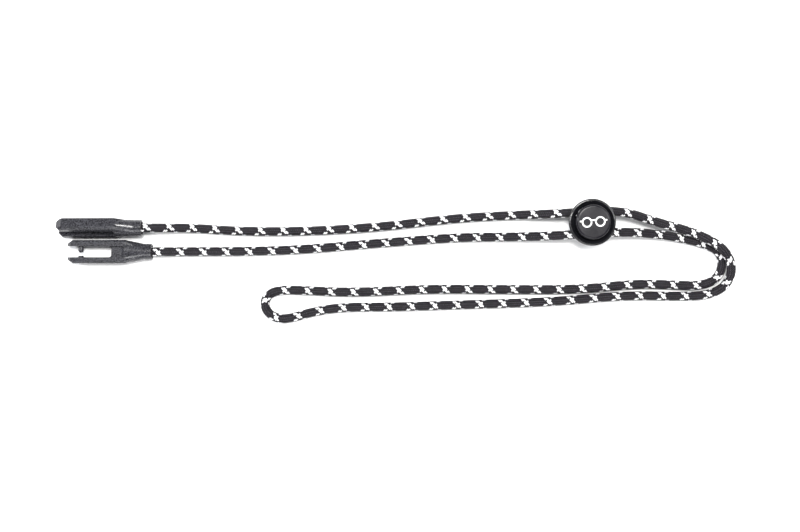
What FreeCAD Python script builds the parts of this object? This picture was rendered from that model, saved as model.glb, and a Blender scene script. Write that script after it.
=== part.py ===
import FreeCAD, Part
import math
import os
import re
import Sketcher
from FreeCAD import Placement, Rotation, Vector

# An adjustable retainer cord: a braided cord runs through a push-button cord lock,
# round a loop and back through the lock, with a forked clip on each end.
# Millimetres. The origin is the centre of the lock's base, +Z is up, and the two
# cord bores run along X. The clips are on the -X side and the loop is on the +X side.

doc = FreeCAD.newDocument("retainer_cord")

# ---------------------------------------------------------------- sizes

SIZES = {
    # cord
    "cord_diameter": "3.0",
    "strand_spacing": "7.0",
    # lock body
    "bore_clearance": "0.4",
    "floor_thickness": "1.0",
    "side_wall": "0.8",
    "cavity_margin": "0.2",
    "wall_over_bore": "0.3",
    "rim_overhang": "1.1",
    "rim_flare": "0.4",
    "rim_thickness": "1.3",
    "rim_land": "0.6",
    "dish_depth": "0.8",
    "rim_rounding": "0.5",
    "base_rounding": "0.5",
    # button
    "button_clearance": "0.1",
    "button_travel": "2.0",
    "button_stand": "2.4",
    "button_rounding": "0.7",
    "channel_clearance": "0.3",
    "web_clearance": "0.25",
    "foot_thickness": "1.2",
    "foot_floor_gap": "0.25",
    "grip_gap": "0.05",
    "lug_width": "2.4",
    "lug_reach": "0.5",
    "lug_clearance": "0.15",
    "lug_stop_gap": "0.05",
    # spring
    "spring_diameter": "2.2",
    "spring_wire": "0.3",
    "spring_turns": "9",
    "spring_pocket_clearance": "0.15",
    "spring_pocket_roof": "2.7",
    "spring_end_gap": "0.03",
    "spigot_clearance": "0.1",
    "spigot_height": "1.2",
    # clip
    "clip_length": "27.0",
    "clip_width": "7.6",
    "clip_thickness": "4.2",
    # the barrel is round as far as its length and then flares to the clip's full width
    "barrel_diameter": "5.2",
    "barrel_length": "2.6",
    # the flat fork starts inside the round barrel, this far from the mouth and this wide
    "fork_start": "2.5",
    "fork_root": "3.0",
    "shoulder_length": "6.0",
    "slot_length": "14.0",
    "slot_width": "3.5",
    "slot_rounding": "0.8",
    "tip_length": "1.8",
    "tip_thickness": "0.8",
    "tip_chamfer": "1.2",
    "recess_ramp": "1.1",
    "recess_floor": "3.3",
    "recess_depth": "1.2",
    "arm_rounding": "0.9",
    "peg_diameter": "1.8",
    "peg_gap": "1.0",
    "peg_rounding": "0.7",
    "long_peg": "2.0",
    "peg_from_tip": "4.1",
    "socket_depth": "6.6",
    "mouth_widening": "0.4",
    "mouth_depth": "0.7",
    "mouth_rounding": "0.25",
    # ferrule
    "ferrule_wall": "0.25",
    "ferrule_length": "5.0",
    # how far a cut or a bar runs past the face that it starts from
    "overrun": "1.0",
}

# Sizes that follow from the ones above.
DERIVED = {
    "bore_radius": "cord_diameter / 2 + bore_clearance",
    "foot_bottom": "floor_thickness + foot_floor_gap + button_travel",
    "foot_top": "foot_bottom + foot_thickness",
    "bore_height": "foot_top + grip_gap + cord_diameter / 2",
    "cavity_radius": "strand_spacing / 2 + bore_radius + cavity_margin",
    "body_radius": "cavity_radius + side_wall",
    "rim_radius": "body_radius + rim_overhang",
    "rim_bottom": "bore_height + bore_radius + wall_over_bore",
    "rim_top": "rim_bottom + rim_thickness",
    "button_radius": "cavity_radius - button_clearance",
    "button_top": "rim_top + button_stand",
    "channel_top": "bore_height + cord_diameter / 2 + button_travel + channel_clearance",
    "web_half": "strand_spacing / 2 - cord_diameter / 2 - web_clearance",
    "spring_roof": "button_top - spring_pocket_roof",
    "spring_height": "spring_roof - floor_thickness - spring_wire - 2 * spring_end_gap",
    "spring_pocket_radius": "spring_diameter / 2 + spring_pocket_clearance",
    "spigot_radius": "spring_diameter / 2 - spring_wire - spigot_clearance",
    "socket_radius": "cord_diameter / 2 + ferrule_wall",
    "slot_start": "clip_length - slot_length",
    "recess_start": "slot_start - recess_floor - recess_ramp",
}

sheet = doc.addObject("Spreadsheet::Sheet", "Sizes")
for row, (alias, value) in enumerate(list(SIZES.items()) + list(DERIVED.items()), start=1):
    cell = f"B{row}"
    sheet.set(f"A{row}", alias)
    sheet.set(cell, value if alias in SIZES else "=" + value)
    sheet.setAlias(cell, alias)
doc.recompute()


def size(alias):
    """The value of one cell of the sheet."""
    return float(sheet.get(alias))


def bound(expression):
    """An expression with every size written as the sheet's own cell."""
    return re.sub(r"[a-z_]+", lambda word: "Sizes." + word.group(), expression)


calculator = doc.addObject("Spreadsheet::Sheet", "Calculator")


def value_of(expression):
    """The number that an expression of sizes gives now."""
    calculator.set("A1", "=" + bound(expression))
    calculator.recompute()
    return float(calculator.get("A1"))


# ---------------------------------------------------------------- the cord's route

# One continuous line from the first clip to the second: through the upper bore, round
# the loop, back to the fold at the far left, round the loop again and through the lower
# bore. The outer strand rides on the inner one where the loop leaves the lock.
ROUTE = [
    # first clip to the lock
    (-150, 8.3, 4.05), (-139, 7.6, 4.05), (-127, 6.8, 1.6), (-113, 4.8, 1.5), (-93, 3.4, 1.5),
    (-68, 3.1, 1.5), (-43, 4.4, 1.5), (-23, 4.1, 1.6), (-9.5, 3.5, 6),
    # round the loop, outer strand
    (9.5, 3.5, 6), (21, -1.2, 4.8), (32, -4.9, 4.3), (40, -9.2, 4.6), (43.7, -13.6, 4.6),
    (44.5, -19, 4), (41.9, -23.7, 2.5), (35.9, -25.9, 1.5), (26, -25.4, 1.5), (10, -24, 1.5),
    (-14, -24.6, 1.5), (-42, -23.6, 1.5), (-66, -22.8, 1.5), (-81, -21.8, 1.5), (-90.5, -22.6, 1.5),
    (-97, -24.1, 1.5),
    # the fold at the far left
    (-101.6, -24.4, 1.5), (-105.2, -22.2, 1.5), (-106.3, -18.8, 1.5), (-104.4, -15.9, 1.5),
    (-100.5, -14.9, 1.5),
    # back and round the loop, inner strand
    (-93, -15.6, 1.5), (-78, -17.3, 1.5), (-52, -17.8, 1.5), (-28, -19.6, 1.5), (-4, -21.2, 1.5),
    (14, -20.5, 1.5), (26, -21.7, 1.5), (34, -22.6, 1.5), (39.5, -21.2, 1.5), (42.2, -17, 1.5),
    (41.7, -12.2, 1.5), (37.4, -9.4, 1.5), (30.5, -7.1, 1.5), (21.5, -5, 2.6), (9.5, -3.5, 6),
    # the lock to the second clip
    (-9.5, -3.5, 6), (-23, -3, 1.7), (-42, -1.8, 1.5), (-68, -2, 1.5), (-94, -2.5, 1.5),
    (-113, -1.7, 1.5), (-127, -0.8, 1.6), (-137, -0.2, 2.6), (-147.5, 0.5, 2.6),
]


# How much of the shorter run beside a point its arc takes up, on each side of the point.
ARC_SHARE = 0.45


def cord_path(points):
    """Straight runs joined by tangent arcs, each as large as its two runs allow."""
    corners = [Vector(*point) for point in points]
    edges = []
    start = corners[0]
    radii = []
    for before, corner, after in zip(corners, corners[1:], corners[2:]):
        back = (before - corner).normalize()
        ahead = (after - corner).normalize()
        setback = ARC_SHARE * min((before - corner).Length, (after - corner).Length)
        half_turn = (math.pi - back.getAngle(ahead)) / 2
        radius = setback / math.tan(half_turn)
        radii.append(radius)
        enter = corner + back * setback
        leave = corner + ahead * setback
        inward = (back + ahead).normalize()
        middle = corner + inward * (radius / math.cos(half_turn) - radius)
        edges.append(Part.LineSegment(start, enter).toShape())
        edges.append(Part.Arc(enter, middle, leave).toShape())
        start = leave
    edges.append(Part.LineSegment(start, corners[-1]).toShape())
    print("cord radii mm:", " ".join(f"{radius:.0f}" for radius in radii))
    return Part.Wire(edges)


# ---------------------------------------------------------------- sketch helpers

def plane(body, role):
    """One of a body's own origin planes or axes."""
    return next(feature for feature in body.Origin.OriginFeatures if feature.Role == role)


def new_body(label):
    body = doc.addObject("PartDesign::Body", label)
    body.Label = label
    return body


def new_sketch(body, name, role):
    sketch = body.newObject("Sketcher::SketchObject", name)
    sketch.AttachmentSupport = [(plane(body, role), "")]
    sketch.MapMode = "FlatFace"
    return sketch


def fix_point(sketch, geometry, position, across, up):
    """Hold one point of a sketch at two bound distances from the sketch's origin."""
    for kind, expression in (("DistanceX", across), ("DistanceY", up)):
        if expression == "0":
            axis = -2 if kind == "DistanceX" else -1
            sketch.addConstraint(Sketcher.Constraint("PointOnObject", geometry, position, axis))
            continue
        number = value_of(expression)
        index = sketch.addConstraint(
            Sketcher.Constraint(kind, -1, 1, geometry, position, number))
        sketch.setExpression(f"Constraints[{index}]", bound(expression))


def draw_outline(sketch, points):
    """A closed outline of straight lines whose corners are bound to the sheet."""
    corners = [Vector(value_of(across), value_of(up), 0) for across, up in points]
    first = sketch.GeometryCount
    for here, there in zip(corners, corners[1:] + corners[:1]):
        sketch.addGeometry(Part.LineSegment(here, there), False)
    count = len(points)
    for step in range(count):
        following = first + (step + 1) % count
        sketch.addConstraint(Sketcher.Constraint("Coincident", first + step, 2, following, 1))
    for step, (across, up) in enumerate(points):
        fix_point(sketch, first + step, 1, across, up)


def draw_rectangle(sketch, left, right, low, high):
    draw_outline(sketch, [(left, low), (right, low), (right, high), (left, high)])


def draw_circle(sketch, across, up, radius):
    centre = Vector(value_of(across), value_of(up), 0)
    circle = sketch.addGeometry(Part.Circle(centre, Vector(0, 0, 1), value_of(radius)), False)
    fix_point(sketch, circle, 3, across, up)
    index = sketch.addConstraint(Sketcher.Constraint("Radius", circle, value_of(radius)))
    sketch.setExpression(f"Constraints[{index}]", bound(radius))


def draw_ellipse(sketch, half_across, half_up):
    """An ellipse about the sketch's origin, its longer axis across."""
    across = value_of(half_across)
    up = value_of(half_up)
    ellipse = sketch.addGeometry(
        Part.Ellipse(Vector(across, 0, 0), Vector(0, up, 0), Vector()), False)
    sketch.exposeInternalGeometry(ellipse)
    long_axis = ellipse + 1
    short_axis = ellipse + 2
    sketch.addConstraint(Sketcher.Constraint("Coincident", ellipse, 3, -1, 1))
    sketch.addConstraint(Sketcher.Constraint("Horizontal", long_axis))
    for axis, half in ((long_axis, half_across), (short_axis, half_up)):
        index = sketch.addConstraint(Sketcher.Constraint("Distance", axis, 2 * value_of(half)))
        sketch.setExpression(f"Constraints[{index}]", bound(f"2 * ({half})"))


def loft(body, sketch, other, name):
    feature = body.newObject("PartDesign::AdditiveLoft", name)
    feature.Profile = sketch
    feature.Sections = [other]
    doc.recompute()
    return feature


def revolve(body, sketch, name):
    feature = body.newObject("PartDesign::Revolution", name)
    feature.Profile = sketch
    feature.ReferenceAxis = (sketch, ["V_Axis"])
    feature.Angle = 360
    doc.recompute()
    return feature


def pad(body, sketch, name, length, midplane=False, reverse=False):
    feature = body.newObject("PartDesign::Pad", name)
    feature.Profile = sketch
    feature.setExpression("Length", bound(length))
    feature.SideType = "Symmetric" if midplane else "One side"
    feature.Reversed = reverse
    doc.recompute()
    return feature


def pocket(body, sketch, name, length=None, midplane=False, reverse=False):
    """A pocket of a bound length, or through everything when no length is given."""
    before = body.Shape.Volume
    feature = body.newObject("PartDesign::Pocket", name)
    feature.Profile = sketch
    if length is None:
        feature.Type = "ThroughAll"
    else:
        feature.setExpression("Length", bound(length))
    feature.SideType = "Symmetric" if midplane else "One side"
    feature.Reversed = reverse
    doc.recompute()
    if body.Shape.Volume > before - 1e-3:
        raise ValueError(f"{body.Label}: {name} cuts nothing")
    return feature


def round_edges(body, name, radius, wanted):
    """Fillet each edge of the body's tip for which wanted(edge) is true."""
    tip = body.Tip
    names = [f"Edge{index}" for index, edge in enumerate(tip.Shape.Edges, start=1) if wanted(edge)]
    if not names:
        raise ValueError(f"{body.Label}: {name} finds no edge")
    feature = body.newObject("PartDesign::Fillet", name)
    feature.Base = (tip, names)
    feature.setExpression("Radius", bound(radius))
    doc.recompute()
    return feature


def full_circle_at(radius, height):
    """A test for the whole circle about Z with this radius at this height."""
    def wanted(edge):
        if not isinstance(edge.Curve, Part.Circle):
            return False
        same_size = abs(edge.Curve.Radius - radius) < 1e-4
        return same_size and abs(edge.Curve.Center.z - height) < 1e-4
    return wanted


# ---------------------------------------------------------------- cord lock

def make_lock_body():
    """Moulded cup with a rounded rim, a dished ring, two cord bores and two lug windows."""
    body = new_body("lock_body")

    profile = new_sketch(body, "body_profile", "XZ_Plane")
    draw_outline(profile, [
        ("0", "0"),
        ("body_radius", "0"),
        ("body_radius", "rim_bottom"),
        ("rim_radius", "rim_bottom + rim_flare"),
        ("rim_radius", "rim_top"),
        ("rim_radius - rim_land", "rim_top"),
        ("cavity_radius", "rim_top - dish_depth"),
        ("cavity_radius", "floor_thickness"),
        ("0", "floor_thickness"),
    ])
    revolve(body, profile, "cup")
    round_edges(body, "base_edge", "base_rounding", full_circle_at(size("body_radius"), 0))
    round_edges(body, "rim_edge", "rim_rounding",
                full_circle_at(size("rim_radius"), size("rim_top")))

    bores = new_sketch(body, "bore_circles", "YZ_Plane")
    draw_circle(bores, "strand_spacing/2", "bore_height", "bore_radius")
    draw_circle(bores, "-strand_spacing/2", "bore_height", "bore_radius")
    pocket(body, bores, "cord_bores", midplane=True)

    windows = new_sketch(body, "window_outline", "XZ_Plane")
    draw_rectangle(windows, "-lug_width/2 - lug_clearance", "lug_width/2 + lug_clearance",
                   "floor_thickness", "foot_top + lug_stop_gap")
    pocket(body, windows, "lug_windows", midplane=True)

    spigot = new_sketch(body, "spigot_circle", "XY_Plane")
    draw_circle(spigot, "0", "0", "spigot_radius")
    pad(body, spigot, "spring_spigot", "floor_thickness + spigot_height")
    return body


def make_lock_button():
    """Cap, central web and foot in one moulding, with a cord channel on each side."""
    body = new_body("lock_button")

    disc = new_sketch(body, "button_circle", "XY_Plane")
    draw_circle(disc, "0", "0", "button_radius")
    pad(body, disc, "button_blank", "button_top")
    round_edges(body, "cap_edge", "button_rounding",
                full_circle_at(size("button_radius"), size("button_top")))

    below = new_sketch(body, "below_foot", "XY_Plane")
    draw_circle(below, "0", "0", "button_radius + overrun")
    pocket(body, below, "space_below_foot", "foot_bottom", reverse=True)

    channels = new_sketch(body, "channel_outline", "YZ_Plane")
    draw_rectangle(channels, "web_half", "button_radius + overrun", "foot_top", "channel_top")
    draw_rectangle(channels, "-button_radius - overrun", "-web_half", "foot_top", "channel_top")
    pocket(body, channels, "cord_channels", midplane=True)

    lugs = new_sketch(body, "lug_outline", "XZ_Plane")
    draw_rectangle(lugs, "-lug_width/2", "lug_width/2", "foot_bottom", "foot_top")
    pad(body, lugs, "snap_lugs", "2 * (button_radius + lug_reach)",
        midplane=True)

    hole = new_sketch(body, "spring_pocket_circle", "XY_Plane")
    draw_circle(hole, "0", "0", "spring_pocket_radius")
    pocket(body, hole, "spring_pocket", "spring_roof", reverse=True)
    return body


def make_lock_spring():
    """Round-wire compression spring between the floor and the roof of the pocket."""
    helix = doc.addObject("Part::Helix", "spring_line")
    helix.setExpression("Radius", bound("spring_diameter / 2 - spring_wire / 2"))
    helix.setExpression("Height", bound("spring_height"))
    helix.setExpression("Pitch", bound("spring_height / spring_turns"))
    section = doc.addObject("Part::Circle", "spring_section")
    section.setExpression("Radius", bound("spring_wire / 2"))
    section.Placement = Placement(Vector(), Rotation(Vector(1, 0, 0), 90))
    section.setExpression("Placement.Base.x", bound("spring_diameter / 2 - spring_wire / 2"))
    spring = doc.addObject("Part::Sweep", "lock_spring")
    spring.Sections = [section]
    spring.Spine = (helix, [])
    spring.Solid = True
    spring.Frenet = True
    spring.Label = "lock_spring"
    spring.setExpression("Placement.Base.z",
                         bound("floor_thickness + spring_end_gap + spring_wire / 2"))
    doc.recompute()
    return spring


# ---------------------------------------------------------------- cord

def make_cord():
    """The cord as one plain round tube along its route."""
    radius = size("cord_diameter") / 2
    path = cord_path(ROUTE)
    first = path.Edges[0]
    direction = first.tangentAt(first.FirstParameter)
    ring = Part.Wire(Part.Circle(Vector(*ROUTE[0]), direction, radius).toShape())
    shape = path.makePipeShell([ring], True, False)
    if shape.Volume < 0:
        shape.reverse()
    expected = math.pi * radius ** 2 * path.Length
    print(f"cord length {path.Length:.1f} mm, volume {shape.Volume:.1f}, expected {expected:.1f}")
    cord = doc.addObject("Part::Feature", "braided_cord")
    cord.Shape = shape
    cord.Label = "braided_cord"
    return cord


# ---------------------------------------------------------------- clips and ferrules

def on_cord_end(end, inner, roll):
    """Placement of a fitting on the cord's end: local +X points out along the end run."""
    outward = (end - inner).normalize()
    level = Rotation(outward, Vector(), Vector(0, 0, 1), "XZY")
    return Placement(end, level.multiply(Rotation(Vector(1, 0, 0), roll)))


def make_clip(label):
    """Fork with two facing pegs. Local +X runs from the barrel's mouth to the tips."""
    body = new_body(label)

    outline = new_sketch(body, label + "_outline", "XY_Plane")
    half = "clip_width/2"
    tip = "slot_width/2 + tip_thickness"
    upper = [
        ("fork_start", "fork_root/2"),
        ("fork_start + shoulder_length", half),
        ("clip_length - tip_length", half),
        ("clip_length", tip),
        ("clip_length", "slot_width/2"),
        ("slot_start", "slot_width/2"),
    ]
    lower = [(across, f"-1 * ({up})") for across, up in reversed(upper)]
    draw_outline(outline, upper + lower)
    pad(body, outline, label + "_fork", "clip_thickness", midplane=True)

    slot_start = size("slot_start")
    slot_half = size("slot_width") / 2

    def slot_corner(edge):
        box = edge.BoundBox
        upright = box.ZLength > 0.1 and box.XLength < 1e-4 and box.YLength < 1e-4
        return upright and abs(box.XMin - slot_start) < 1e-4 and abs(abs(box.YMin) - slot_half) < 1e-4

    round_edges(body, label + "_slot_end", "slot_rounding", slot_corner)

    def arm_outside(edge):
        box = edge.BoundBox
        level = box.ZLength < 1e-4 and box.XLength > 1
        return level and max(abs(box.YMin), abs(box.YMax)) > slot_half + 1e-3

    round_edges(body, label + "_arms", "arm_rounding", arm_outside)

    recess = new_sketch(body, label + "_recess_outline", "XZ_Plane")
    face = "clip_thickness/2"
    sunk = "clip_thickness/2 - recess_depth"
    clear = "clip_thickness/2 + overrun"
    above = [
        ("recess_start", face),
        ("recess_start + recess_ramp", sunk),
        ("slot_start + slot_rounding", sunk),
        ("slot_start + slot_rounding", clear),
        ("recess_start", clear),
    ]
    draw_outline(recess, above)
    draw_outline(recess, [(across, f"-1 * ({up})") for across, up in above])
    pocket(body, recess, label + "_recess", "slot_width", midplane=True)

    tips = new_sketch(body, label + "_tip_corners", "XZ_Plane")
    corner = [
        ("clip_length - tip_chamfer", face),
        ("clip_length - tip_chamfer", clear),
        ("clip_length + overrun", clear),
        ("clip_length + overrun", "clip_thickness/2 - tip_chamfer"),
        ("clip_length", "clip_thickness/2 - tip_chamfer"),
    ]
    draw_outline(tips, corner)
    draw_outline(tips, [(across, f"-1 * ({up})") for across, up in corner])
    pocket(body, tips, label + "_tips", "clip_width", midplane=True)

    pegs = new_sketch(body, label + "_peg_circle", "XZ_Plane")
    draw_circle(pegs, "clip_length - peg_from_tip", "0", "peg_diameter/2")
    pad(body, pegs, label + "_pegs", "slot_width + overrun", midplane=True)

    gap = new_sketch(body, label + "_peg_gap", "XY_Plane")
    draw_rectangle(gap, "clip_length - peg_from_tip - peg_diameter",
                   "clip_length - peg_from_tip + peg_diameter",
                   "long_peg - slot_width/2", "long_peg - slot_width/2 + peg_gap")
    pocket(body, gap, label + "_gap", "peg_diameter + overrun", midplane=True)

    peg_end = size("long_peg") - slot_half
    peg_width = size("peg_diameter")

    def long_peg_end(edge):
        box = edge.BoundBox
        flat = abs(box.YMin - peg_end) < 1e-3 and abs(box.YMax - peg_end) < 1e-3
        return flat and abs(box.XLength - peg_width) < 1e-3

    round_edges(body, label + "_peg_end", "peg_rounding", long_peg_end)

    barrel = new_sketch(body, label + "_barrel_circle", "YZ_Plane")
    draw_circle(barrel, "0", "0", "barrel_diameter/2")
    pad(body, barrel, label + "_barrel", "barrel_length")

    flare_start = new_sketch(body, label + "_flare_circle", "YZ_Plane")
    flare_start.setExpression("AttachmentOffset.Base.z", bound("barrel_length"))
    draw_circle(flare_start, "0", "0", "barrel_diameter/2")
    flare_end = new_sketch(body, label + "_flare_ellipse", "YZ_Plane")
    flare_end.setExpression("AttachmentOffset.Base.z", bound("recess_start"))
    draw_ellipse(flare_end, half, "barrel_diameter/2")
    loft(body, flare_start, flare_end, label + "_flare")

    barrel_radius = size("barrel_diameter") / 2

    def mouth_outside(edge):
        box = edge.BoundBox
        return abs(box.XMax) < 1e-4 and abs(box.YMax - barrel_radius) < 1e-3

    round_edges(body, label + "_mouth_edge", "mouth_rounding", mouth_outside)

    socket = new_sketch(body, label + "_socket_circle", "YZ_Plane")
    draw_circle(socket, "0", "0", "socket_radius")
    pocket(body, socket, label + "_socket", "socket_depth", reverse=True)

    mouth = new_sketch(body, label + "_mouth_circle", "YZ_Plane")
    draw_circle(mouth, "0", "0", "socket_radius + mouth_widening")
    pocket(body, mouth, label + "_mouth", "mouth_depth", reverse=True)
    return body


def make_ferrule(label):
    """Sleeve crimped round the cord's end and pressed into the clip's socket."""
    outside = doc.addObject("Part::Cylinder", label + "_outside")
    outside.setExpression("Radius", bound("socket_radius"))
    outside.setExpression("Height", bound("ferrule_length"))
    inside = doc.addObject("Part::Cylinder", label + "_inside")
    inside.setExpression("Radius", bound("cord_diameter / 2"))
    inside.setExpression("Height", bound("ferrule_length"))
    ferrule = doc.addObject("Part::Cut", label)
    ferrule.Base = outside
    ferrule.Tool = inside
    ferrule.Label = label
    return ferrule


def make_end(name, end, inner, roll):
    """The clip and the ferrule on one end of the cord."""
    where = on_cord_end(Vector(*end), Vector(*inner), roll)
    clip = make_clip("clip_" + name)
    clip.Placement = where.multiply(Placement(Vector(-size("socket_depth"), 0, 0), Rotation()))
    ferrule = make_ferrule("ferrule_" + name)
    along = Rotation(Vector(0, 1, 0), 90)
    ferrule.Placement = where.multiply(Placement(Vector(-size("ferrule_length"), 0, 0), along))
    return [clip, ferrule]


# ---------------------------------------------------------------- build, check and write

CLIP_UPPER_ROLL = -66
CLIP_LOWER_ROLL = 0

pieces = [make_lock_body(), make_lock_button(), make_lock_spring(), make_cord()]
pieces += make_end("upper", ROUTE[0], ROUTE[1], CLIP_UPPER_ROLL)
pieces += make_end("lower", ROUTE[-1], ROUTE[-2], CLIP_LOWER_ROLL)
doc.recompute()

for item in doc.Objects:
    if "Invalid" in item.State or "Error" in item.State:
        raise ValueError(f"{item.Name} did not recompute: {item.State}")

os.makedirs("parts", exist_ok=True)
for piece in pieces:
    shape = piece.Shape
    if shape.isNull() or not shape.isValid() or not shape.Solids:
        raise ValueError(f"{piece.Label} is not a valid solid")
    shape.exportStep(f"parts/{piece.Label}.step")
    box = shape.BoundBox
    print(f"{piece.Label:14s} volume {shape.Volume:8.1f}  x {box.XMin:7.2f} {box.XMax:7.2f}"
          f"  y {box.YMin:7.2f} {box.YMax:7.2f}  z {box.ZMin:6.2f} {box.ZMax:6.2f}")
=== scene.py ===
"""A retainer cord with a round cord lock and a forked clip on each end: looks, camera and light."""

import math

import bpy
import numpy as np
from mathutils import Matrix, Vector


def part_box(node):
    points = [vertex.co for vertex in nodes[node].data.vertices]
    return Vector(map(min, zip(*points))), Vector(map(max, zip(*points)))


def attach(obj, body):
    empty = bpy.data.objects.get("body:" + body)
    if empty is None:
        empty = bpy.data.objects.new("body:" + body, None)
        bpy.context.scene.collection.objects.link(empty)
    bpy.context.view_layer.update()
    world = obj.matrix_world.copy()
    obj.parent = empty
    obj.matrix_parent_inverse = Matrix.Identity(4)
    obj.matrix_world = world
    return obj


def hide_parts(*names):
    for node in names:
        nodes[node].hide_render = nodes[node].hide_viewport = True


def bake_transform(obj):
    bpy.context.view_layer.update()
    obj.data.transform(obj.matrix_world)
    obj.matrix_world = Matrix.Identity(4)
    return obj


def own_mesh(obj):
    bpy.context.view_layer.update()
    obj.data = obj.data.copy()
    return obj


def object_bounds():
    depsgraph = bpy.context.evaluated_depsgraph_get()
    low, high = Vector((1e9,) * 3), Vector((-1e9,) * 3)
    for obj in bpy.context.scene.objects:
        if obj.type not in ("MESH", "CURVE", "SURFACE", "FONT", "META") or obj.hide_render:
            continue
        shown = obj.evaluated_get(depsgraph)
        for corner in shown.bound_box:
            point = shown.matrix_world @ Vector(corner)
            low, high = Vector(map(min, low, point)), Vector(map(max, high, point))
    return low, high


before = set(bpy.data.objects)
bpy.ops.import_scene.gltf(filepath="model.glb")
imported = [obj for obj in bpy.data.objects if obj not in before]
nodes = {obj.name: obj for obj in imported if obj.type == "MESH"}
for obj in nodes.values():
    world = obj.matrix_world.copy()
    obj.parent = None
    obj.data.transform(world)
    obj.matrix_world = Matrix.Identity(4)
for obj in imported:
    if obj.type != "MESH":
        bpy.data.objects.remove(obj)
cad_low, cad_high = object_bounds()

CORD_DIAMETER = 0.003

# ---------------------------------------------------------------- the braid
# A tubular braid of 24 yarns, 12 wound each way, each over two and under two.
YARNS_EACH_WAY = 12
# How far along the cord a yarn goes in one turn, in metres.
LAY = 0.00735
# How flat a yarn's back is: the higher this is, the narrower the groove beside it.
YARN_FLATNESS = 2.6
# How many filaments lie side by side across a yarn, and how many follow one another along it where it
# crosses one other yarn.
FILAMENTS_ACROSS = 5.5
FILAMENTS_ALONG = 0.55
# The cord lies a little twisted. This is how far it has turned on itself, in turns, at some distances along
# it in metres.
TURNED = [(0.0, 0.225), (0.15, 0.225), (0.21, 0.10), (0.35, 0.10), (0.38, 0.097), (0.50, 0.097),
          (0.56, 0.13), (0.71, 0.13)]

# The braid is stretched a little unevenly. This is how far it has slid along the cord, in lays, at the same
# distances.
SLID = [(0.0, -0.09), (0.15, -0.09), (0.21, -0.26), (0.35, -0.26), (0.38, -0.29), (0.50, -0.29),
        (0.56, -0.34), (0.71, -0.34)]


# ---------------------------------------------------------------- materials
class Nodes:
    """A material's node tree, with short calls that add and join its nodes."""

    def __init__(self, name):
        self.material = bpy.data.materials.new(name)
        self.material.use_nodes = True
        self.tree = self.material.node_tree
        self.shader = self.tree.nodes["Principled BSDF"]
        self.column = 0

    def add(self, kind, **settings):
        node = self.tree.nodes.new(kind)
        self.column += 1
        node.location = (-220 * (self.column % 12) - 300, -180 * (self.column // 12))
        for name, value in settings.items():
            setattr(node, name, value)
        return node

    def feed(self, socket, value):
        """Joins value to the socket where it is another node's output, or else sets it."""
        if isinstance(value, bpy.types.NodeSocket):
            self.tree.links.new(value, socket)
        else:
            socket.default_value = value

    def set(self, **values):
        """Sets or joins the main shader's sockets, named with _ for a space."""
        for name, value in values.items():
            self.feed(self.shader.inputs[name.replace("_", " ")], value)

    def math(self, operation, first, second=0.0, third=0.0):
        node = self.add("ShaderNodeMath", operation=operation)
        for socket, value in zip(node.inputs, (first, second, third)):
            self.feed(socket, value)
        return node.outputs[0]

    def noise(self, vector, scale, detail=2.0, roughness=0.5):
        node = self.add("ShaderNodeTexNoise")
        self.feed(node.inputs["Vector"], vector)
        node.inputs["Scale"].default_value = scale
        node.inputs["Detail"].default_value = detail
        node.inputs["Roughness"].default_value = roughness
        return node.outputs["Fac"]

    def ramp(self, value, low, high, out_low=0.0, out_high=1.0):
        """value from low to high becomes out_low to out_high, held at both ends."""
        node = self.add("ShaderNodeMapRange")
        for name, setting in (("Value", value), ("From Min", low), ("From Max", high),
                              ("To Min", out_low), ("To Max", out_high)):
            self.feed(node.inputs[name], setting)
        return node.outputs[0]

    def mix(self, share, first, second):
        """A colour between first and second."""
        node = self.add("ShaderNodeMix", data_type="RGBA")
        self.feed(node.inputs[0], share)
        for socket, value in zip((node.inputs[6], node.inputs[7]), (first, second)):
            self.feed(socket, value if isinstance(value, bpy.types.NodeSocket) else (*value, 1.0))
        return node.outputs[2]

    def bump(self, height, strength, distance, below=None):
        node = self.add("ShaderNodeBump")
        self.feed(node.inputs["Height"], height)
        node.inputs["Strength"].default_value = strength
        node.inputs["Distance"].default_value = distance
        if below is not None:
            self.feed(node.inputs["Normal"], below)
        return node.outputs[0]

    def place(self):
        """Where a point is on the object, in metres."""
        return self.add("ShaderNodeTexCoord").outputs["Object"]


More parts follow.
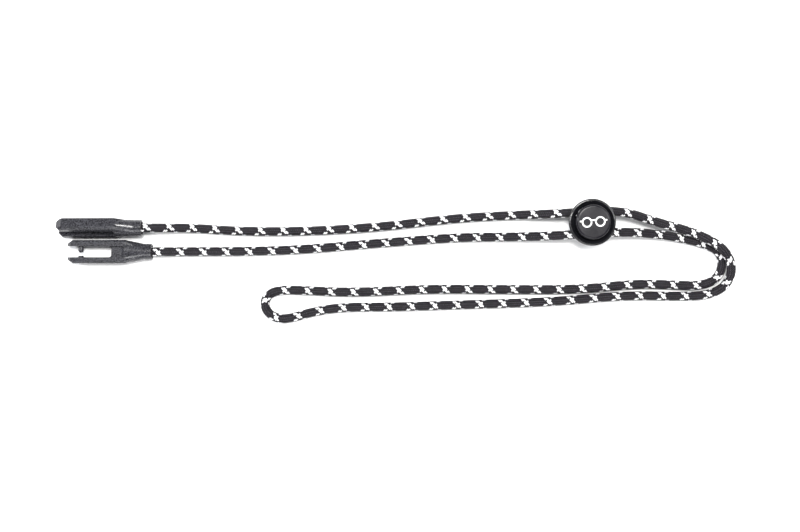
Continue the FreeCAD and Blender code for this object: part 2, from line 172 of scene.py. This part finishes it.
def cord_material():
    """Black yarn with two white yarns each way, worked out from turns round the cord and lays along it."""
    n = Nodes("braided_yarn")
    uv = n.add("ShaderNodeUVMap", uv_map="braid").outputs[0]
    parts = n.add("ShaderNodeSeparateXYZ")
    n.feed(parts.inputs[0], uv)
    along = parts.outputs[0]
    around = parts.outputs[1]
    # The whole part of each is the yarn's number and the rest is how far across that yarn a place is. The
    # left yarns wind one way and the right yarns the other way.
    left = n.math("MULTIPLY", n.math("SUBTRACT", around, along), YARNS_EACH_WAY)
    right = n.math("MULTIPLY", n.math("ADD", around, along), YARNS_EACH_WAY)
    left_yarn = n.math("FLOOR", left)
    right_yarn = n.math("FLOOR", right)
    across_left = n.math("FRACT", left)
    across_right = n.math("FRACT", right)
    step = n.math("FLOORED_MODULO", n.math("ADD", left_yarn, right_yarn), 4.0)
    left_on_top = n.math("LESS_THAN", step, 1.5)

    def choose(if_left, if_right):
        difference = n.math("SUBTRACT", if_left, if_right)
        return n.math("MULTIPLY_ADD", left_on_top, difference, if_right)

    across = choose(across_left, across_right)
    yarn = choose(left_yarn, right_yarn)
    white = n.math("LESS_THAN", n.math("FLOORED_MODULO", yarn, float(YARNS_EACH_WAY)), 1.5)

    # The yarn's rounded back, and the painted shade of the crease where two yarns meet.
    middle = n.math("ABSOLUTE", n.math("MULTIPLY_ADD", across, 2.0, -1.0))
    crown = n.math("SUBTRACT", 1.0, n.math("POWER", middle, YARN_FLATNESS))
    crease_shade = n.ramp(middle, 0.15, 0.6)

    # Fine filaments run along each yarn, so they are stretched along the way that it winds.
    fibre_left = n.add("ShaderNodeCombineXYZ")
    n.feed(fibre_left.inputs[0], n.math("MULTIPLY", left, FILAMENTS_ACROSS))
    n.feed(fibre_left.inputs[1], n.math("MULTIPLY", right, FILAMENTS_ALONG))
    fibre_right = n.add("ShaderNodeCombineXYZ")
    n.feed(fibre_right.inputs[0], n.math("MULTIPLY", left, FILAMENTS_ALONG))
    n.feed(fibre_right.inputs[1], n.math("MULTIPLY", right, FILAMENTS_ACROSS))
    fibres = choose(n.noise(fibre_left.outputs[0], 1.0), n.noise(fibre_right.outputs[0], 1.0))
    place = n.place()
    wear = n.noise(place, 260.0, 3.0)

    # Painted shade: a yarn is darkened where it comes up from under the others, at both ends of its run on
    # top.
    run_left = n.math("FLOORED_MODULO", n.math("ADD", left_yarn, right), 4.0)
    run_right = n.math("FLOORED_MODULO", n.math("ADD", n.math("SUBTRACT", right_yarn, 2.0), left), 4.0)
    rise = n.math("SINE", n.math("MULTIPLY", choose(run_left, run_right), math.pi / 2))
    buried_shade = n.ramp(rise, 0.3, 0.9, 1.0, 0.0)
    # The black yarn's filaments shade from near black to a painted glint, which stands in for the shine on
    # each yarn's crest.
    black = n.mix(n.ramp(fibres, 0.3, 0.7), (0.014, 0.012, 0.016), (0.095, 0.085, 0.105))
    # Painted shade in the creases, and where a yarn goes under the others, turns the black yarn almost to
    # nothing there.
    black = n.mix(n.math("MAXIMUM", crease_shade, buried_shade), black, (0.0006, 0.0006, 0.0008))
    pale = n.mix(n.ramp(fibres, 0.2, 0.5), (0.84, 0.84, 0.86), (0.97, 0.97, 0.97))
    # Painted shade in the creases greys the white yarns too.
    pale = n.mix(n.math("MULTIPLY", crease_shade, 0.25), pale, (0.60, 0.60, 0.64))
    n.set(Base_Color=n.mix(white, black, pale))
    n.set(Roughness=n.ramp(wear, 0.3, 0.7, 0.40, 0.55))
    n.set(Specular_IOR_Level=0.18)
    coarse = n.bump(crown, 1.0, 0.00016)
    n.set(Normal=n.bump(fibres, 0.5, 0.00004, coarse))
    return n.material


def lock_shell_material():
    n = Nodes("glossy_moulding")
    place = n.place()
    grain = n.noise(place, 900.0, 3.0)
    haze = n.noise(place, 170.0, 4.0)
    n.set(Base_Color=n.mix(haze, (0.004, 0.004, 0.005), (0.008, 0.008, 0.010)))
    n.set(Roughness=n.ramp(haze, 0.3, 0.7, 0.14, 0.22))
    n.set(Normal=n.bump(grain, 0.12, 0.00002))
    return n.material


def button_material():
    n = Nodes("satin_moulding")
    place = n.place()
    grain = n.noise(place, 2600.0, 2.0)
    haze = n.noise(place, 230.0, 4.0)
    n.set(Base_Color=n.mix(haze, (0.005, 0.005, 0.0065), (0.010, 0.009, 0.013)))
    n.set(Specular_IOR_Level=0.22)
    n.set(Roughness=n.ramp(haze, 0.3, 0.7, 0.19, 0.25))
    n.set(Normal=n.bump(grain, 0.25, 0.00002))
    return n.material


def clip_material():
    n = Nodes("dull_moulding")
    place = n.place()
    grain = n.noise(place, 2300.0, 3.0, 0.6)
    swirl = n.noise(place, 260.0, 5.0)
    n.set(Base_Color=n.mix(n.ramp(grain, 0.4, 0.6), (0.007, 0.007, 0.009), (0.046, 0.046, 0.053)))
    n.set(Specular_IOR_Level=0.4)
    n.set(Roughness=n.ramp(swirl, 0.3, 0.7, 0.20, 0.30))
    n.set(Normal=n.bump(swirl, 0.2, 0.0001, n.bump(grain, 0.55, 0.00006)))
    return n.material


def metal_material(name, colour, roughness):
    n = Nodes(name)
    place = n.place()
    drawn = n.noise(place, 1500.0, 3.0)
    n.set(Base_Color=n.mix(drawn, tuple(0.82 * c for c in colour), colour))
    n.set(Metallic=1.0)
    n.set(Roughness=n.ramp(drawn, 0.3, 0.7, roughness, roughness + 0.14))
    n.set(Normal=n.bump(drawn, 0.15, 0.00002))
    return n.material


def print_material():
    """The white ink of the mark on the button."""
    n = Nodes("white_print")
    place = n.place()
    cover = n.noise(place, 1600.0, 3.0)
    n.set(Base_Color=n.mix(cover, (0.80, 0.80, 0.80), (0.94, 0.94, 0.94)))
    n.set(Roughness=n.ramp(cover, 0.3, 0.7, 0.4, 0.55))
    return n.material


def floor_material():
    n = Nodes("white_sweep")
    place = n.place()
    tooth = n.noise(place, 300.0, 4.0)
    n.set(Base_Color=n.mix(tooth, (0.90, 0.90, 0.90), (0.92, 0.92, 0.92)))
    n.set(Roughness=0.8)
    return n.material


def paint(obj, material):
    """Gives every face of the piece the material."""
    if not obj.material_slots:
        obj.data.materials.append(material)
    for place in obj.material_slots:
        place.material = material


# ---------------------------------------------------------------- the cord's line
# The same route that the cord's solid has, in metres.
ROUTE = [
    # first clip to the lock
    (-0.150, 0.0083, 0.00405), (-0.139, 0.0076, 0.00405), (-0.127, 0.0068, 0.0016),
    (-0.113, 0.0048, 0.0015), (-0.093, 0.0034, 0.0015), (-0.068, 0.0031, 0.0015),
    (-0.043, 0.0044, 0.0015), (-0.023, 0.0041, 0.0016), (-0.0095, 0.0035, 0.006),
    # round the loop, outer strand
    (0.0095, 0.0035, 0.006), (0.021, -0.0012, 0.0048), (0.032, -0.0049, 0.0043),
    (0.040, -0.0092, 0.0046), (0.0437, -0.0136, 0.0046), (0.0445, -0.019, 0.004),
    (0.0419, -0.0237, 0.0025), (0.0359, -0.0259, 0.0015), (0.026, -0.0254, 0.0015),
    (0.010, -0.024, 0.0015), (-0.014, -0.0246, 0.0015), (-0.042, -0.0236, 0.0015),
    (-0.066, -0.0228, 0.0015), (-0.081, -0.0218, 0.0015), (-0.0905, -0.0226, 0.0015),
    (-0.097, -0.0241, 0.0015),
    # the fold at the far left
    (-0.1016, -0.0244, 0.0015), (-0.1052, -0.0222, 0.0015), (-0.1063, -0.0188, 0.0015),
    (-0.1044, -0.0159, 0.0015), (-0.1005, -0.0149, 0.0015),
    # back and round the loop, inner strand
    (-0.093, -0.0156, 0.0015), (-0.078, -0.0173, 0.0015), (-0.052, -0.0178, 0.0015),
    (-0.028, -0.0196, 0.0015), (-0.004, -0.0212, 0.0015), (0.014, -0.0205, 0.0015),
    (0.026, -0.0217, 0.0015), (0.034, -0.0226, 0.0015), (0.0395, -0.0212, 0.0015),
    (0.0422, -0.017, 0.0015), (0.0417, -0.0122, 0.0015), (0.0374, -0.0094, 0.0015),
    (0.0305, -0.0071, 0.0015), (0.0215, -0.005, 0.0026), (0.0095, -0.0035, 0.006),
    # the lock to the second clip
    (-0.0095, -0.0035, 0.006), (-0.023, -0.003, 0.0017), (-0.042, -0.0018, 0.0015),
    (-0.068, -0.002, 0.0015), (-0.094, -0.0025, 0.0015), (-0.113, -0.0017, 0.0015),
    (-0.127, -0.0008, 0.0016), (-0.137, -0.0002, 0.0026), (-0.1475, 0.0005, 0.0026),
]


def cord_line(points):
    """The points along the smooth curve that has the route as its control points."""
    curve = bpy.data.curves.new("cord_line", "CURVE")
    curve.dimensions = "3D"
    spline = curve.splines.new("NURBS")
    spline.points.add(len(points) - 1)
    for point, place in zip(spline.points, points):
        point.co = (*place, 1.0)
    spline.order_u = 3
    spline.use_endpoint_u = True
    spline.resolution_u = 48
    holder = bpy.data.objects.new("cord_line", curve)
    mesh = bpy.data.meshes.new_from_object(holder)
    line = np.array([v.co for v in mesh.vertices], float).reshape(-1, 3)
    bpy.data.meshes.remove(mesh)
    bpy.data.objects.remove(holder)
    bpy.data.curves.remove(curve)
    return line


def lengths_along(line):
    """How far along the line each of its points is."""
    steps = np.linalg.norm(np.diff(line, axis=0), axis=1)
    return np.concatenate([[0.0], np.cumsum(steps)])


def evenly(line, count):
    """The line again with count points, all the same distance apart."""
    along = lengths_along(line)
    at = np.linspace(0.0, along[-1], count)
    return np.stack([np.interp(at, along, line[:, k]) for k in range(3)], axis=1)


def directions(line):
    forward = np.gradient(line, axis=0)
    return forward / np.linalg.norm(forward, axis=1)[:, None]


def side_vectors(line):
    """Two unit vectors across the line at each point, which turn with the line and no more."""
    forward = directions(line)
    side = np.cross(forward[0], (0.0, 0.0, 1.0))
    sides = np.empty_like(line)
    for k, ahead in enumerate(forward):
        side = side - ahead * (side @ ahead)
        side = side / np.linalg.norm(side)
        sides[k] = side
    return sides, np.cross(sides, forward)


# ---------------------------------------------------------------- the cord's mesh
RINGS = 2700
POINTS_ROUND = 36
# How deep the groove between two yarns is.
GROOVE = 0.00015
# The share of its height that a yarn keeps where it goes under the others.
BURIED_SHARE = 0.45


def yarn_height(along, around):
    """How high the yarn on top stands at each place on the braid, from 0 to 1."""
    left = YARNS_EACH_WAY * (around - along)
    right = YARNS_EACH_WAY * (around + along)
    left_on_top = (np.floor(left) + np.floor(right)) % 4 < 1.5
    across = np.where(left_on_top, left % 1, right % 1)
    crown = 1 - np.abs(2 * across - 1) ** YARN_FLATNESS
    # Where a yarn comes up from under the others it starts low, and it is highest in the middle of its run.
    run = np.where(left_on_top, np.floor(left) + right, np.floor(right) - 2 + left) % 4
    rise = np.sin(math.pi / 2 * np.minimum(run, 2.0))
    return crown * (BURIED_SHARE + (1 - BURIED_SHARE) * rise)


def braid_mesh(name, line):
    """A tube along the line with the braid's relief in it, and a map of lays along it and turns round it."""
    along = lengths_along(line)
    sides, ups = side_vectors(line)
    turns = np.arange(POINTS_ROUND + 1) / POINTS_ROUND
    lays = along / LAY + np.interp(along, [k[0] for k in SLID], [k[1] for k in SLID])
    turned = np.interp(along, [k[0] for k in TURNED], [k[1] for k in TURNED])
    heights = yarn_height(lays[:, None], turns[None, :-1] - turned[:, None])
    radius = CORD_DIAMETER / 2 - GROOVE * (1 - heights)
    angle = 2 * math.pi * turns[:-1]
    points = (line[:, None, :]
              + (radius * np.cos(angle))[:, :, None] * sides[:, None, :]
              + (radius * np.sin(angle))[:, :, None] * ups[:, None, :])
    rings = len(line)
    vertices = points.reshape(-1, 3)
    ring, place = np.meshgrid(np.arange(rings - 1), np.arange(POINTS_ROUND), indexing="ij")
    after = (place + 1) % POINTS_ROUND
    corners = np.stack([ring * POINTS_ROUND + place, ring * POINTS_ROUND + after,
                        (ring + 1) * POINTS_ROUND + after, (ring + 1) * POINTS_ROUND + place], axis=-1)
    faces = corners.reshape(-1, 4)
    mesh = bpy.data.meshes.new(name)
    ends = [list(range(POINTS_ROUND))[::-1],
            list(range((rings - 1) * POINTS_ROUND, rings * POINTS_ROUND))]
    mesh.from_pydata(vertices.tolist(), [], faces.tolist() + ends)
    uv = mesh.uv_layers.new(name="braid")
    ring_at = np.stack([ring, ring, ring + 1, ring + 1], axis=-1)
    lay_at = lays[ring_at]
    turn_at = turns[np.stack([place, place + 1, place + 1, place], axis=-1)] - turned[ring_at]
    pairs = np.stack([lay_at, turn_at], axis=-1).reshape(-1, 2)
    pairs = np.concatenate([pairs, np.zeros((2 * POINTS_ROUND, 2))])
    uv.data.foreach_set("uv", pairs.astype(np.float32).ravel())
    mesh.polygons.foreach_set("use_smooth", [True] * len(mesh.polygons))
    mesh.update()
    return mesh


line = evenly(cord_line(ROUTE), RINGS)
cord = bpy.data.objects.new("braid", braid_mesh("braid", line))
bpy.context.collection.objects.link(cord)
paint(cord, cord_material())
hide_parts("braided_cord")
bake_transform(cord)

# ---------------------------------------------------------------- the moulded pieces
paint(nodes["lock_body"], lock_shell_material())
paint(nodes["lock_button"], button_material())
clip_look = clip_material()
paint(nodes["clip_upper"], clip_look)
paint(nodes["clip_lower"], clip_look)
brass = metal_material("crimped_brass", (0.78, 0.60, 0.30), 0.28)
paint(nodes["ferrule_upper"], brass)
paint(nodes["ferrule_lower"], brass)


# ---------------------------------------------------------------- the spring
def spring_mesh(name, low, high, wire, coil, turns, around, per_turn):
    """A helix of round wire, its last turn at each end wound down flat."""
    count = int(turns * per_turn) + 1
    t = np.linspace(0.0, 1.0, count)
    rise = np.interp(t * turns, [0.0, 1.0, turns - 1.0, turns], [0.0, 0.25 / turns, 1 - 0.25 / turns, 1.0])
    angle = 2 * math.pi * turns * t
    line = np.stack([coil * np.cos(angle), coil * np.sin(angle),
                     low + wire + (high - low - 2 * wire) * rise], axis=1)
    sides, ups = side_vectors(line)
    turn = 2 * math.pi * np.arange(around) / around
    points = (line[:, None, :] + wire * np.cos(turn)[None, :, None] * sides[:, None, :]
              + wire * np.sin(turn)[None, :, None] * ups[:, None, :])
    ring, place = np.meshgrid(np.arange(count - 1), np.arange(around), indexing="ij")
    after = (place + 1) % around
    faces = np.stack([ring * around + place, ring * around + after,
                      (ring + 1) * around + after, (ring + 1) * around + place], axis=-1)
    ends = [list(range(around))[::-1], list(range((count - 1) * around, count * around))]
    mesh = bpy.data.meshes.new(name)
    mesh.from_pydata(points.reshape(-1, 3).tolist(), [], faces.reshape(-1, 4).tolist() + ends)
    mesh.polygons.foreach_set("use_smooth", [True] * len(mesh.polygons))
    mesh.update()
    return mesh


spring_low, spring_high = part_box("lock_spring")
spring = bpy.data.objects.new("spring", spring_mesh(
    "spring", spring_low[2], spring_high[2], wire=0.00015, coil=0.00095, turns=9, around=10, per_turn=28))
bpy.context.collection.objects.link(spring)
paint(spring, metal_material("spring_wire", (0.62, 0.62, 0.64), 0.2))
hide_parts("lock_spring")
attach(spring, "lock")
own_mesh(spring)


# ---------------------------------------------------------------- the mark on the button
# A pair of spectacles seen from the front, as on a pictogram: two round lenses, a bridge and two hinges.
MARK_LIFT = 0.00002
MARK_WIDTH = 0.00045


def stroke(name, lines, width, height):
    """Flat ribbons of one width along each line of points, at one height."""
    vertices, faces = [], []
    for points, closed in lines:
        points = np.array(points, float)
        if closed:
            before, after = np.roll(points, 1, axis=0), np.roll(points, -1, axis=0)
        else:
            before = np.vstack([points[:1], points[:-1]])
            after = np.vstack([points[1:], points[-1:]])
        ahead = after - before
        ahead = ahead / np.linalg.norm(ahead, axis=1)[:, None]
        across = np.stack([-ahead[:, 1], ahead[:, 0]], axis=1) * width / 2
        first = len(vertices)
        for place, off in zip(points, across):
            vertices.append((*(place - off), height))
            vertices.append((*(place + off), height))
        last = len(points) if closed else len(points) - 1
        for k in range(last):
            a, b = first + 2 * k, first + 2 * ((k + 1) % len(points))
            faces.append((a, b, b + 1, a + 1))
    mesh = bpy.data.meshes.new(name)
    mesh.from_pydata(vertices, [], faces)
    mesh.update()
    return mesh


def ring_of(centre, radius, count=40):
    angle = 2 * math.pi * np.arange(count) / count
    return np.stack([centre[0] + radius * np.cos(angle), centre[1] + radius * np.sin(angle)], axis=1)


def arc_of(centre, radius, start, end, count=12):
    angle = np.radians(np.linspace(start, end, count))
    return np.stack([centre[0] + radius * np.cos(angle), centre[1] + radius * np.sin(angle)], axis=1)


button_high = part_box("lock_button")[1]
mark_lines = [
    (ring_of((-0.0021, 0.0), 0.0014), True),
    (ring_of((0.0021, 0.0), 0.0014), True),
    (arc_of((0.0, -0.0003), 0.0009, 20, 160), False),
    (np.array([(-0.0034, 0.0004), (-0.0043, 0.0004)]), False),
    (np.array([(0.0034, 0.0004), (0.0043, 0.0004)]), False),
]
mark = bpy.data.objects.new("mark", stroke("mark", mark_lines, MARK_WIDTH, button_high[2] + MARK_LIFT))
bpy.context.collection.objects.link(mark)
paint(mark, print_material())
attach(mark, "button")

# ---------------------------------------------------------------- floor, light and camera
floor_mesh = bpy.data.meshes.new("floor")
floor_mesh.from_pydata([(-3, -3, 0), (3, -3, 0), (3, 3, 0), (-3, 3, 0)], [], [(0, 1, 2, 3)])
floor = bpy.data.objects.new("floor", floor_mesh)
bpy.context.collection.objects.link(floor)
floor.location = (0.0, 0.0, float(cad_low[2]))
paint(floor, floor_material())


def area_light(name, place, target, size, power, colour=(1.0, 1.0, 1.0)):
    light = bpy.data.lights.new(name, "AREA")
    light.shape = "RECTANGLE"
    light.size, light.size_y = size
    light.energy = power
    light.color = colour
    lamp = bpy.data.objects.new(name, light)
    lamp.location = place
    lamp.rotation_euler = (Vector(target) - Vector(place)).to_track_quat("-Z", "Y").to_euler()
    bpy.context.collection.objects.link(lamp)


CENTRE = (-0.06, -0.01, 0.0)
area_light("key", (-0.03, 0.20, 0.88), CENTRE, (0.24, 0.24), 10.0, (1.0, 0.99, 0.97))
area_light("front_fill", (-0.12, -0.62, 0.55), CENTRE, (0.5, 0.2), 3.5)
area_light("left_fill", (-0.74, 0.22, 0.45), CENTRE, (0.22, 0.22), 4.5, (0.94, 0.96, 1.0))
area_light("right_fill", (0.42, 0.14, 0.80), CENTRE, (0.22, 0.22), 3.0)

world = bpy.data.worlds.new("studio")
bpy.context.scene.world = world
world.use_nodes = True
world.node_tree.nodes["Background"].inputs["Color"].default_value = (0.96, 0.97, 1.0, 1.0)
world.node_tree.nodes["Background"].inputs["Strength"].default_value = 0.4

camera_data = bpy.data.cameras.new("camera")
camera_data.sensor_width = 36.0
camera_data.lens = 58.4
camera_data.clip_start = 0.01
camera = bpy.data.objects.new("camera", camera_data)
camera.location = (-0.0617, -0.0098, 0.42)
camera.rotation_euler = (0.0, 0.0, math.radians(-3.8))
bpy.context.collection.objects.link(camera)
bpy.context.scene.camera = camera
bpy.context.scene.view_settings.view_transform = "Standard"
